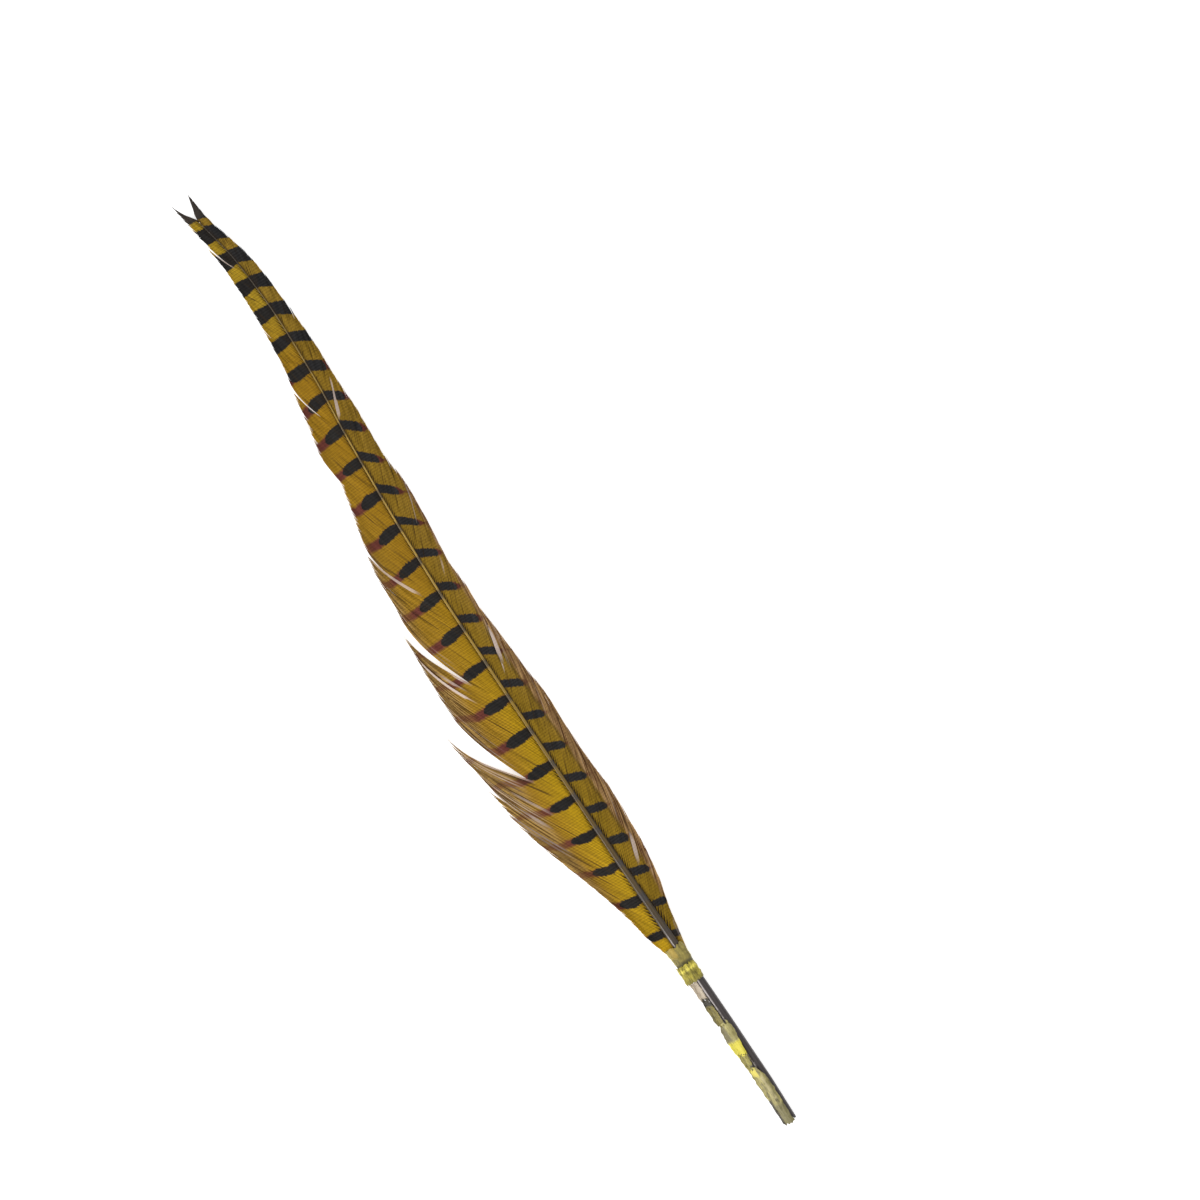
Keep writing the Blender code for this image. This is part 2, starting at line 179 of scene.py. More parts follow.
RIGHT_BARS = [
    (66, 64.5, 1.2, 1.2), (79.6, 78.3, 1.3, 1.4), (92.5, 91.1, 1.2, 1.55), (106.6, 104.4, 1.6, 1.7),
    (120.2, 118.2, 1.55, 1.9), (133.8, 131.9, 1.55, 1.65), (147.6, 145.1, 1.65, 1.7),
    (161.1, 158.5, 1.8, 1.65),
    (174.4, 172, 1.6, 1.75), (188.6, 185.2, 1.65, 1.7), (202.8, 199.2, 1.5, 1.75), (216.6, 213.2, 1.65, 1.9),
    (230.4, 227, 1.65, 1.85), (244.6, 241.4, 1.8, 1.7), (258.5, 253.8, 1.85, 1.6), (271.8, 267, 2, 1.9),
    (285.3, 280.2, 2.05, 1.9), (298.3, 293.6, 1.9, 2.1), (310.3, 306.7, 2, 1.9), (322.8, 319.4, 2.25, 2.25),
    (335, 332, 2.05, 2.3), (347.2, 344.2, 2.5, 3.1), (359.3, 356.9, 2.6, 3.2), (371.1, 369.3, 3, 3.6),
    (382.6, 379.6, 3.3, 3.8), (395, 393, 6.4, 6.6), (412, 412, 1, 1),
]
# How far out from the shaft the black reaches, and where the brown fringe begins, by station
BLACK_REACH = {
    1: [(80, 7.2), (97, 8.7), (112, 10.6), (184, 10.7), (213, 9.8), (256, 9.4), (270, 8.2), (310, 7.8),
        (323, 8.2), (329, 40)],
    -1: [(80, 5), (92, 6.4), (106, 7.6), (134, 7.7), (161, 7.3), (188, 7.0), (202, 6.0), (216, 6.5),
         (230, 6.1), (244, 7), (258, 6.5), (271, 6.1), (285, 5.8), (298, 6.4), (322, 5.6), (329, 40)],
}
FRINGE_START = {
    1: [(76, 7.0), (95, 8.0), (110, 9.0), (130, 10.8), (150, 12.0), (180, 12.6), (205, 12.8), (230, 12.0),
        (260, 11.2), (300, 10), (340, 9), (400, 9)],
    -1: [(76, 5), (95, 5.9), (110, 7.3), (160, 7.5), (200, 6.9), (240, 7.7), (270, 8.6), (300, 7.9),
         (330, 7.5), (400, 9)],
}
FRINGE_SPAN = {1: 5.0, -1: 0.9}
# A bar's half width by the share of the black's reach: a lens on the left, a block on the right
BAR_OUTLINE = {
    1: [(0, 1), (0.62, 1), (0.85, 0.8), (0.95, 0.5), (1.02, 0.0), (1.12, -1.0)],
    -1: [(0, 1), (0.86, 1), (0.97, 0.75), (1.03, 0.0), (1.12, -1.0)],
}
# The distance from the shaft over which a bar grows to its full width
BAR_WIDENS_OVER = {1: 5, -1: 6}
# The left wine-red's half width over the bar's, by the share of the black's reach
WINE_TAIL = [(0, 0.84), (1.05, 0.84), (1.5, 0.78), (2.2, 0.5)]


def smooth(knots, at):
    """A curve through the knots that never overshoots them: cubic pieces with slopes that are zero at
    every peak, dip and flat, and elsewhere the harmonic mean of the slopes on either side."""
    x, y = np.array(knots, float).T
    at = np.clip(np.asarray(at, float), x[0], x[-1])
    step = np.diff(x)
    rate = np.diff(y) / step
    same = rate[:-1] * rate[1:] > 0
    mean = np.zeros(len(rate) - 1)
    mean[same] = 2 * rate[:-1][same] * rate[1:][same] / (rate[:-1] + rate[1:])[same]
    slope = np.concatenate([rate[:1], mean, rate[-1:]])
    i = np.clip(np.searchsorted(x, at, side="right") - 1, 0, len(step) - 1)
    t = (at - x[i]) / step[i]
    rise = (2 * t**3 - 3 * t**2 + 1) * y[i] + (3 * t**2 - 2 * t**3) * y[i + 1]
    return rise + step[i] * ((t**3 - 2 * t**2 + t) * slope[i] + (t**3 - t**2) * slope[i + 1])


def ease(low, high, at):
    """0 below low, 1 above high, and a smooth S between; the other way round where low is above high."""
    t = np.clip((np.asarray(at, float) - low) / (high - low), 0, 1)
    return t * t * (3 - 2 * t)


def ripple(seed, *ways):
    """Soft irregular waves, about -1 to 1: a sum of eight sines of the ways, each a (value, wavelength)
    pair, with directions and starts drawn from the seed."""
    draw = np.random.default_rng(seed)
    total = 0.0
    for _ in range(8):
        phase = draw.uniform(0, 2 * math.pi)
        for value, wavelength in ways:
            phase = phase + 2 * math.pi * draw.uniform(-1.4, 1.4) / wavelength * np.asarray(value, float)
        total = total + np.sin(phase)
    return total / 2.8


def together(*parts):
    """Arrays of numbers, each stretched to the shape that they share, as one array of vectors."""
    return np.stack(np.broadcast_arrays(*parts), axis=-1)


def place(station, across, height):
    """Stations, places across and heights in millimetres, as points in the feather's frame in metres."""
    return together(station - MID_STATION, across - MID_ACROSS, height) * MM


def vane_height(side, station, out):
    """The height of a vane's upper face at a distance out from the middle of the shaft: half a cosine
    from the shaft's shoulder down to the vane's outer edge."""
    share = np.clip(out / smooth(VANE_WIDTH[side], station), 0, 1) ** VANE_FOLD[side]
    radius = smooth(SHAFT_RADIUS, station)
    shoulder = smooth(SHAFT_RISE, station) + 1.4 * radius + 0.2
    edge = smooth(EDGE_RISE, station)
    return edge + (shoulder - edge) * 0.5 * (1 + np.cos(math.pi * share))


# ---------------------------------------------------------------- meshes


def corners(strips, rows, columns, ring):
    """The corners of every face of closed strips, as three arrays of (faces, 4): strip, row and column.
    The columns run round a strip. A ring's rows close too, and other strips get a ladder of faces at
    each end. Columns and a ring's rows are counted past the seam, for the chart."""
    strip, row, column = np.indices((strips, rows if ring else rows - 1, columns)).reshape(3, -1, 1)
    row = row + np.array([0, 1, 1, 0])
    column = column + np.array([0, 0, 1, 1])
    strip = np.broadcast_to(strip, row.shape)
    if ring:
        return strip, row, column
    rung = np.arange(columns // 2 - 1)[:, None]
    step = rung * np.array([1, 1, -1, -1]) + np.array([0, 1, columns - 2, columns - 1])
    ends = np.stack([step, step[:, ::-1]])
    shape = (strips, 2, len(rung), 4)
    cap_strip = np.broadcast_to(np.arange(strips).reshape(-1, 1, 1, 1), shape).reshape(-1, 4)
    cap_row = np.broadcast_to(np.array([0, rows - 1]).reshape(1, 2, 1, 1), shape).reshape(-1, 4)
    cap_column = np.broadcast_to(ends[None], shape).reshape(-1, 4)
    return (np.concatenate([strip, cap_strip]), np.concatenate([row, cap_row]),
            np.concatenate([column, cap_column]))


def chart(strip, row, column, strips, rows, columns, shelves):
    """A flat map of the strips: a strip's length runs along u and its columns along v. The strips are
    stacked, on several shelves side by side where there are many."""
    per_shelf = math.ceil(strips / shelves)
    shelf = strip // per_shelf
    u = (shelf + 0.01 + 0.98 * row / rows) / shelves
    v = (strip % per_shelf + 0.04 + 0.92 * column / columns) / per_shelf
    return np.stack([u, v], axis=-1)


def folded_chart(strip, row, column, strips, rows, columns, folds):
    """A flat map of one long strip, cut across its length into folds that are stacked along v."""
    length = (rows - 1) / folds
    fold = np.clip(np.floor(row.mean(axis=1, keepdims=True) / length), 0, folds - 1)
    u = 0.01 + 0.98 * (row - fold * length) / length
    v = (fold + 0.02 + 0.96 * column / columns) / folds
    return np.stack([np.clip(u, 0, 1), v], axis=-1)


def skin(name, points, finish, marks=None, shelves=1, ring=False, layout=chart, sharp=60):
    """A mesh on closed strips of points, (strips, rows, columns, 3), turned to face outwards. Marks are
    named arrays of three numbers a point, which the finish reads."""
    strips, rows, columns = points.shape[:3]
    strip, row, column = corners(strips, rows, columns, ring)
    faces = (strip * rows + row % rows) * columns + column % columns
    flat_map = layout(strip, row, column, strips, rows, columns, shelves)
    at = points.reshape(-1, 3)
    a, b, c, d = (at[faces[:, i]] for i in range(4))
    inside_out = (np.cross(b - a, c - a) * a).sum() + (np.cross(c - a, d - a) * a).sum() < 0
    if inside_out:
        faces = faces[:, ::-1]
        flat_map = flat_map[:, ::-1]
    mesh = bpy.data.meshes.new(name)
    mesh.from_pydata(at.tolist(), [], faces.tolist())
    layer = mesh.uv_layers.new(name="OFBake")
    layer.data.foreach_set("uv", flat_map.reshape(-1).astype(np.float32))
    for title, values in (marks or {}).items():
        held = mesh.attributes.new(title, "FLOAT_VECTOR", "POINT")
        held.data.foreach_set("vector", values.reshape(-1).astype(np.float32))
    mesh.shade_smooth()
    mesh.set_sharp_from_angle(angle=math.radians(sharp))
    mesh.materials.append(finish)
    made = bpy.data.objects.new(name, mesh)
    bpy.context.scene.collection.objects.link(made)
    return made


# ---------------------------------------------------------------- finishes


def tint(red, green, blue):
    """A display colour from 0 to 255 as the linear colour that shaders use."""
    share = np.array([red, green, blue]) / 255
    linear = np.where(share <= 0.04045, share / 12.92, ((share + 0.055) / 1.055) ** 2.4)
    return (*linear.tolist(), 1.0)


class Flow:
    """A shader socket that works in Python sums: each sum adds a Math node."""

    def __init__(self, finish, socket):
        self.finish = finish
        self.socket = socket

    def __add__(self, other):
        return self.finish.sum("ADD", self, other)

    def __sub__(self, other):
        return self.finish.sum("SUBTRACT", self, other)

    def __rsub__(self, other):
        return self.finish.sum("SUBTRACT", other, self)

    def __mul__(self, other):
        return self.finish.sum("MULTIPLY", self, other)

    __radd__ = __add__
    __rmul__ = __mul__


class Finish:
    """One material: a Principled shader and the nodes that feed it."""

    def __init__(self, name, **constants):
        self.material = bpy.data.materials.new(name)
        self.material.use_nodes = True
        self.tree = self.material.node_tree
        self.shader = self.tree.nodes["Principled BSDF"]
        self.feed(self.shader, {key.replace("_", " "): value for key, value in constants.items()})

    def feed(self, made, sockets):
        """Links a node's sockets to flows, and sets plain values on the others."""
        for key, value in sockets.items():
            if isinstance(value, Flow):
                self.tree.links.new(value.socket, made.inputs[key])
            else:
                made.inputs[key].default_value = value

    def node(self, kind, settings=None, sockets=None, out=0):
        """Adds a node, sets it up, fills its sockets and returns one of its outputs."""
        made = self.tree.nodes.new(kind)
        for key, value in (settings or {}).items():
            setattr(made, key, value)
        self.feed(made, sockets or {})
        return Flow(self, made.outputs[out])

    def sum(self, operation, first, second=0.0, clamp=False):
        """A Math node on one or two numbers."""
        settings = {"operation": operation, "use_clamp": clamp}
        return self.node("ShaderNodeMath", settings, {0: first, 1: second})

    def held(self, value):
        """The value kept between 0 and 1."""
        return self.sum("ADD", value, 0.0, clamp=True)

    def ramp(self, value, start, end):
        """0 at the start, 1 at the end and past it, and a straight line between."""
        return self.held((value - start) * (1 / (end - start)))

    def stripe(self, value, middle, half):
        """1 at the middle, and down to 0 at half a width on either side of it."""
        return self.held(1 - self.sum("ABSOLUTE", value - middle) * (1 / half))

    def from_whole(self, count):
        """How far a count is from the nearest whole number."""
        return self.sum("ABSOLUTE", self.sum("FRACT", count + 0.5) - 0.5)

    def wave(self, turns):
        """A sine of a number of turns, from -1 to 1."""
        return self.sum("SINE", turns * (2 * math.pi))

    def mark(self, title):
        """The three numbers of a mark on the mesh."""
        vector = self.node("ShaderNodeAttribute", {"attribute_name": title}, out=1)
        return self.split(vector)

    def split(self, vector):
        """A vector's three numbers."""
        made = self.tree.nodes.new("ShaderNodeSeparateXYZ")
        self.feed(made, {0: vector})
        return [Flow(self, socket) for socket in made.outputs]

    def vector(self, x, y, z):
        """Three numbers as a vector."""
        return self.node("ShaderNodeCombineXYZ", sockets={0: x, 1: y, 2: z})

    def noise(self, vector, scale, detail=3.0, roughness=0.5):
        """Clouds from about -1 to 1."""
        sockets = {"Vector": vector, "Scale": scale, "Detail": detail, "Roughness": roughness}
        return (self.node("ShaderNodeTexNoise", sockets=sockets) - 0.5) * 2.6

    def blend(self, share, first, second):
        """The first colour at a share of 0, the second at 1, through a Mix node."""
        settings = {"data_type": "RGBA", "clamp_factor": True}
        return self.node("ShaderNodeMix", settings, {0: share, 6: first, 7: second}, out=2)

    def brighten(self, colour, factor):
        """A colour times a number, through a Vector Math node."""
        plain = colour if isinstance(colour, Flow) else colour[:3]
        return self.node("ShaderNodeVectorMath", {"operation": "SCALE"}, {0: plain, "Scale": factor})

    def spot(self):
        """The point's own place in the frame."""
        return self.node("ShaderNodeTexCoord", out=3)

    def wear(self, colour, rough, height, depth):
        """Feeds the shader with a colour, a roughness and a bump of that depth in millimetres."""
        sockets = {"Height": height, "Distance": depth * MM, "Strength": 1.0}
        normal = self.node("ShaderNodeBump", sockets=sockets)
        self.feed(self.shader, {"Base Color": colour, "Roughness": rough, "Normal": normal})
        return self.material


# How far apart a barb's shading repeats: rows of barbs, the weave across the feather, the weave along a
# barb, and the dark dashes beside the shaft
ROW_EVERY = 1.85
HATCH_EVERY = 1.05
THREAD_EVERY = 0.55
DASH_EVERY = 1.9
# How sharply the black and the wine red end
BLACK_CRISPNESS = 34.0
WINE_CRISPNESS = 13.0
WINE = tint(103, 54, 45)
# The dark hairs' colour, also used for the painted shade at the barbs' roots and along the right vane's fold
HAIR_AND_ROOT_SHADE = tint(52, 38, 20)
BARE_STEM = tint(216, 196, 184)
TIP_HORN = tint(88, 78, 70)


def vane_finish(name, golds, outer, fringe_pale, fringe_dark, inks, blotch, root_shade_depth):
    """Barbs of one side. The bars mark holds the count of bars so far, and the black's and the maroon's
    half widths as shares of the way to the next bar; the spot mark holds station, distance out and
    distance along the barb; the barb mark holds the barb's own draw, the place across it from -1 to 1 and
    how much it belongs to the fringe; the state mark holds paleness, the darkness of dark hairs and of the
    painted shade along the right vane's fold, and the barb's root."""
    f = Finish(name, Specular_IOR_Level=0.06)
    count, black_half, maroon_half = f.mark("bars")
    station, out, along = f.mark("spot")
    draw, beside, fringe = f.mark("barb")
    pale, dark, root = f.mark("state")
    here = f.spot()

    # Unevenness: fine grain, clouds, streaks and blotches that follow the barbs, and their weave
    fine = f.noise(here, 900.0, 2.0)
    cloud = f.noise(here, 110.0, 3.0)
    streak = f.noise(f.vector(root * 0.55, along * 0.075, 0.0), 1.0, 3.0, 0.6)
    mottle = f.noise(f.vector(root * 0.8, along * 0.45, 3.0), 1.0, 2.0)
    ragged = f.noise(f.vector(root * 1.5, along * 0.2, 7.0), 1.0, 2.0)
    row = f.wave(root * (1 / ROW_EVERY) + mottle * 0.12)
    hatch = f.wave(station * (1 / HATCH_EVERY) + mottle * 0.10) * (0.75 + cloud * 0.5)
    thread = f.wave(along * (1 / THREAD_EVERY) - beside * 0.5)

    # The bars, with edges that wander from barb to barb
    wander = draw * 0.007 + mottle * 0.022 + ragged * 0.030 + fine * 0.006
    from_middle = f.from_whole(count + wander)
    black = f.held((black_half - from_middle) * BLACK_CRISPNESS + 0.5)
    maroon = f.held((maroon_half - from_middle + streak * 0.01) * WINE_CRISPNESS + 0.4)

    # The gold, brighter at the base, and the brown fringe
    gold = f.blend(f.ramp(station, 150, 240), golds[0], golds[1])
    gold = f.blend(f.ramp(station, 325, 350), gold, golds[2])
    gold = f.blend(f.held((out - 4.0) * (1 / 8.0) + cloud * 0.15), gold, outer)
    light = 1 + draw * 0.08 + hatch * 0.16 + row * 0.14 + thread * 0.06 + streak * 0.18 + fine * 0.06
    light = light + mottle * (blotch * 1.2) + cloud * blotch - f.held(mottle * 3.0 - 0.7) * (blotch * 2.4)
    light = light + f.ramp(station, 84, 76) * 0.25
    gold = f.brighten(gold, light)
    strands = f.held(0.5 + streak * 1.1 + row * 0.25 + draw * 0.3)
    brown = f.brighten(f.blend(strands, fringe_dark, fringe_pale), 1 + hatch * 0.10 + cloud * 0.08)
    colour = f.blend(f.held(fringe + streak * 0.35 * fringe), gold, brown)

    # The bars' wine-red ends and their black
    wine = f.brighten(WINE, 1 + draw * 0.12 + hatch * 0.12 + streak * 0.2)
    colour = f.blend(maroon * (1 - 0.45 * fringe), colour, wine)
    ink = f.blend(f.held(0.5 + cloud * 0.5), inks[0], inks[1])
    ink = f.brighten(ink, 1 + hatch * 0.25 + streak * 0.25 + draw * 0.12)
    colour = f.blend(black, colour, ink)

    # Dark hairs, and painted shade beside the shaft, with dashes that are partly dark barb bases and
    # partly painted shadow
    shade = f.ramp(along, 3.68, 0.48) * (root_shade_depth + f.wave(root * (1 / DASH_EVERY)) * 0.35)
    dash = f.held(f.wave(root * (1 / DASH_EVERY) + mottle * 0.2) * 1.6 - 0.5) * f.ramp(along, 7.8, 1.8)
    root_shade_line = (shade + dash * (root_shade_depth - 0.15)) * (1 - black * 0.5)
    colour = f.blend(f.held(dark + root_shade_line), colour, HAIR_AND_ROOT_SHADE)

    # Stripped barbs, and the horny tips
    bare = f.brighten(BARE_STEM, 1 + hatch * 0.05)
    colour = f.blend(f.held(pale + pale * draw * 0.2), colour, bare)
    colour = f.blend(f.ramp(station, 388, 391) * 0.5, colour, f.brighten(TIP_HORN, 1 + streak * 0.2))
    rough = f.held(0.58 - black * 0.06 + fine * 0.05 - pale * 0.12)
    return f.wear(colour, rough, hatch * 0.5 + thread * 0.3 + fine * 0.4, 0.04)


LEFT_FINISH = vane_finish(
    "gold_barbs", [tint(174, 138, 20), tint(149, 111, 20), tint(164, 133, 33)], tint(152, 115, 28),
    tint(182, 145, 80), tint(84, 58, 30), [tint(29, 28, 28), tint(43, 40, 37)], 0.07, 0.5,
)
RIGHT_FINISH = vane_finish(
    "olive_barbs", [tint(154, 122, 32), tint(156, 122, 38), tint(162, 129, 46)], tint(154, 119, 40),
    tint(208, 166, 108), tint(92, 54, 38), [tint(42, 43, 46), tint(54, 52, 51)], 0.23, 0.82,
)


def bar_marks(side, station, out):
    """The count of bars up to a place, by straight lines between the bars' middles at that distance out
    from the shaft, with the half widths of the black and the maroon as shares of the bars' spacing."""
    table = np.array(LEFT_BARS if side > 0 else RIGHT_BARS, float)
    if side > 0:
        middles = np.stack([np.interp(out, LEFT_OUT, bar[:5]) for bar in table], axis=-1)
    else:
        slope = (table[:, 1] - table[:, 0]) / (RIGHT_OUT[1] - RIGHT_OUT[0])
        middles = table[:, 0] + (out[..., None] - RIGHT_OUT[0]) * slope
    below = np.clip((middles < station[..., None]).sum(axis=-1) - 1, 0, len(table) - 2)
    lower = np.take_along_axis(middles, below[..., None], -1)[..., 0]
    upper = np.take_along_axis(middles, below[..., None] + 1, -1)[..., 0]
    count = below + (station - lower) / (upper - lower)
    spacing = np.interp(count, np.arange(len(table)), np.gradient(table[:, 0]))
    nearest = np.round(count).astype(int)
    thin = table[nearest, -2]
    wide = table[nearest, -1]

    # Near the tip the black runs right across the vane, and elsewhere it ends within its reach
    reach = smooth(BLACK_REACH[side], station)
    share = out / reach
    whole = ease(12, 30, reach)
    body = thin + (wide - thin) * ease(0, BAR_WIDENS_OVER[side], out)
    black = body * (smooth(BAR_OUTLINE[side], share) * (1 - whole) + whole)
    if side > 0:
        tail = smooth(WINE_TAIL, share)
    else:
        tail = 0.9 * (1 - ease(1.05, 1.3, share) * (0.75 + 0.25 * ease(190, 170, station)))
        tail = tail * (0.5 + 0.5 * ease(165, 190, station))
    maroon = wide * tail * (1 - whole) - 6 * whole
    return together(count, black / spacing, maroon / spacing)


# ---------------------------------------------------------------- vanes


def tuft(side, keys):
    """The middle lines of a tuft's barbs, (barbs, rings): stations, places across and shares along, with
    the barbs' roots and lengths. A barb is a straight chord plus a cubic bulge that is zero at both ends."""
    keys = np.array(keys, float)
    count = max(3, round((keys[-1, 0] - keys[0, 0]) / ROOT_SPACING) + 1)
    root = np.linspace(keys[0, 0], keys[-1, 0], count)
    tip, tip_across, third, two_thirds = (smooth(keys[:, [0, i]], root)[:, None] for i in range(1, 5))
    root = root[:, None]
    freedom = np.ones((count, 1))
    freedom[[0, -1]] = EDGE_FREEDOM
    longer = BARB_LENGTH + DRAW.uniform(*LENGTH_VARIES, (count, 1)) * freedom
    stray = DRAW.normal(0, TIP_STRAYS, (count, 1)) * freedom
    share = np.linspace(0, 1, RINGS_ALONG_BARB)[None] * longer
    start = smooth(SHAFT_BOW, root) + side * 0.9 * smooth(SHAFT_RADIUS, root)
    chord = tip - root
    rise = tip_across - start
    length = np.hypot(chord, rise)
    bulge = 13.5 * share * (1 - share) * ((2 / 3 - share) * third + (share - 1 / 3) * two_thirds)
    bulge = bulge + stray * ease(0.45, 1.1, share)
    station = root + chord * share - side * bulge * rise / length
    across = start + rise * share + side * bulge * chord / length
    return station, across, share, root, length


def wear_of_barbs(side, station, share, root):
    """How pale the barbs are where they are stripped or turned over, how far they lift there, and how dark
    where a dark hair runs. Some are chosen by their roots, and draws add more of both kinds."""
    pale = np.zeros_like(station)
    lift = np.zeros_like(station)
    for at_side, first, last, start, end, amount, height in PALE_BARBS:
        chosen = (root >= first) & (root <= last) & (at_side == side)
        window = ease(start, start + 0.12, share) * (1 - ease(end - 0.1, end, share)) * chosen
        pale = np.maximum(pale, window * amount)
        lift = np.maximum(lift, window * height)
    begin, reach, kind, strength = DRAW.uniform(0, 1, (4, len(root), 1))
    begin = begin * 0.7
    window = ease(begin, begin + 0.08, share) * (1 - ease(begin + 0.15, begin + 0.2 + 0.3 * reach, share))
    dark = window * np.where(kind < DARK_SHARE, 0.3 + 0.45 * strength, 0)
    stripped = np.where(kind > 1 - PALE_SHARE, 0.15 + 0.3 * strength, 0) * ease(0.45, 0.6, share)
    pale = np.maximum(pale, stripped * ease(225, 195, station))
    return pale, lift, dark


def ribbons(side, station, across, share, root, length, lift):
    """A flat ribbon of four columns along every barb: its base-side edge, its stem on top, its tip-side
    edge and its stem below. The tip-side edge lies over the next barb. The ribbons are as wide as the
    barbs are spaced, evened out over five barbs, and narrow to hairs towards their tips. Gives the points,
    their stations and their distances out."""
    along_x = np.gradient(station, axis=1)
    along_y = np.gradient(across, axis=1)
    size = np.hypot(along_x, along_y)
    beside_x = side * along_y / size
    beside_y = -side * along_x / size
    apart = np.abs(np.gradient(station, axis=0) * beside_x + np.gradient(across, axis=0) * beside_y)
    padded = np.pad(apart, ((2, 2), (0, 0)), "edge")
    apart = sum(padded[i:i + len(apart)] for i in range(5)) / 5

    hair = ease(0.9, 1.0, share)
    half = np.clip(apart, 0.1, 0.75) * BARB_OVERLAP * (1 - 0.6 * hair) + BARB_HALF_WIDTH * (1 - hair)
    half = half * (1 - 0.45 * ease(0.96, 1.02, share)) * (1 + 2.4 * lift)
    half[[0, -1]] = half[[0, -1]] * (1 + 0.9 * (1 - ease(0.28, 0.5, share[[0, -1]])))
    wave = 0.09 * ripple(5 + int(root[0, 0]), (root, 9.0), (share, 0.5)) * ease(0.0, 0.5, share)
    level = wave + lift - ROOT_DIP * np.exp(-share * length / 0.9)
    thinner = -0.55 * STEM_THICKNESS * share

    beside, high = RIBBON.T
    at_station = station[..., None] + beside * (half * beside_x)[..., None]
    at_across = across[..., None] + beside * (half * beside_y)[..., None]
    at_out = side * (at_across - smooth(SHAFT_BOW, np.minimum(at_station, SHAFT_END)))
    height = vane_height(side, at_station, at_out) + level[..., None]
    height = height + high * (1 - 0.5 * hair[..., None]) + thinner[..., None] * (beside == 0) * np.sign(high)
    return place(at_station, at_across, height), at_station, at_out


def lock(name, side, tufts):
    """One piece of vane: the ribbons of all its tufts, with the marks that its finish reads."""
    points = []
    marks = {"bars": [], "spot": [], "barb": [], "state": []}
    for keys in tufts:
        station, across, share, root, length = tuft(side, keys)
        pale, lift, dark = wear_of_barbs(side, station, share, root)
        solid, at_station, at_out = ribbons(side, station, across, share, root, length, lift)
        draw = DRAW.uniform(-1, 1, (len(root), 1, 1))
        start = smooth(FRINGE_START[side], at_station)
        fringe = ease(0, 1, (at_out - start + draw * 0.35) / FRINGE_SPAN[side])
        # Painted shade along the fold where the right vane's fringe begins
        fold_shade = 0.6 * np.exp(-((at_out - start - 0.2 * draw) / 0.35) ** 2) * ease(95, 110, at_station)
        fold_shade = fold_shade * ease(215, 195, at_station) * (side < 0)
        points.append(solid)
        marks["bars"].append(bar_marks(side, at_station, at_out))
        marks["spot"].append(together(at_station, at_out, (share * length)[..., None]))
        marks["barb"].append(together(draw, RIBBON[:, 0], fringe))
        marks["state"].append(together(pale[..., None], np.maximum(dark[..., None], fold_shade), root[..., None]))
    points = np.concatenate(points)
    marks = {title: np.concatenate(values) for title, values in marks.items()}
    shelves = max(1, round(len(points) / 60))
    made = skin(name + "_barbs", points, LEFT_FINISH if side > 0 else RIGHT_FINISH, marks, shelves)
    return finished(made, name)


def finished(piece, node):
    """The piece rides on the only body and stands for its CAD node, which is hidden."""
    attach(piece, "root")
    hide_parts(node)
    return piece


# ---------------------------------------------------------------- shaft


# The horn's colours along the shaft: from where to where it turns into each
BARE_HORN = tint(62, 54, 53)
HORN_TINTS = [
    (66, 90, tint(78, 62, 34)), (90, 130, tint(98, 74, 16)), (130, 175, tint(154, 122, 32)),
    (180, 240, tint(182, 147, 58)), (310, 370, tint(108, 93, 62)),
]
SHAFT_COLUMNS = 24
HOLLOW_DEPTH = 12
HOLLOW_RINGS = 8


def shaft_finish():
    """Horn: dark and glossy on the bare quill with a painted highlight line, olive-brown above it and a
    light line between the upper vanes, with painted shade on the right flank, along the top, beside the
    vanes and inside the hollow end. The around mark holds station, place across from -1 to 1 and how far
    inside the quill; the bars mark is the left vane's."""
    f = Finish("dark_horn", Specular_IOR_Level=0.5)
    station, beside, inside = f.mark("around")
    count, black_half, _ = f.mark("bars")
    here = f.spot()
    x, y, z = f.split(here)
    streak = f.noise(f.vector(x * 60.0, y * 1500.0, z * 1500.0), 1.0, 3.0)
    cloud = f.noise(here, 160.0, 3.0)
    colour = BARE_HORN
    for start, end, shade in HORN_TINTS:
        colour = f.blend(f.ramp(station, start, end), colour, shade)
    colour = f.brighten(colour, 1 + streak * 0.14 + cloud * 0.10)

    # A painted highlight line on the bare quill; above it, painted shade on the right flank, in a line
    # along the top and along the left edge beside the vanes
    upward = f.ramp(station, 74, 86)
    painted_highlight = f.stripe(beside + cloud * 0.05, 0.56, 0.222) * (1 - upward)
    colour = f.blend(painted_highlight, colour, tint(200, 190, 186))
    # Painted shade: on the right flank, in a line along the top, and along the left edge where the vanes root
    colour = f.blend(f.ramp(beside, -0.45, -0.783) * upward * 0.7, colour, tint(54, 44, 28))
    colour = f.blend(f.stripe(beside, 0.28, 0.2) * upward * 0.45, colour, tint(48, 40, 28))
    colour = f.blend(f.ramp(beside, 0.82, 0.945) * upward * 0.6, colour, tint(58, 46, 24))

    # The bars cross the shaft faintly
    black = f.held((black_half - f.from_whole(count)) * 10.0 + 0.5) * f.ramp(station, 76, 86)
    colour = f.blend(black * 0.75, colour, tint(58, 54, 56))
    # Painted shade inside the hollow quill end
    colour = f.blend(f.held(inside), colour, tint(40, 34, 30))
    rough = f.held(0.36 + streak * 0.05 + cloud * 0.05)
    return f.wear(colour, rough, streak * 0.6 + cloud * 0.5, 0.006)


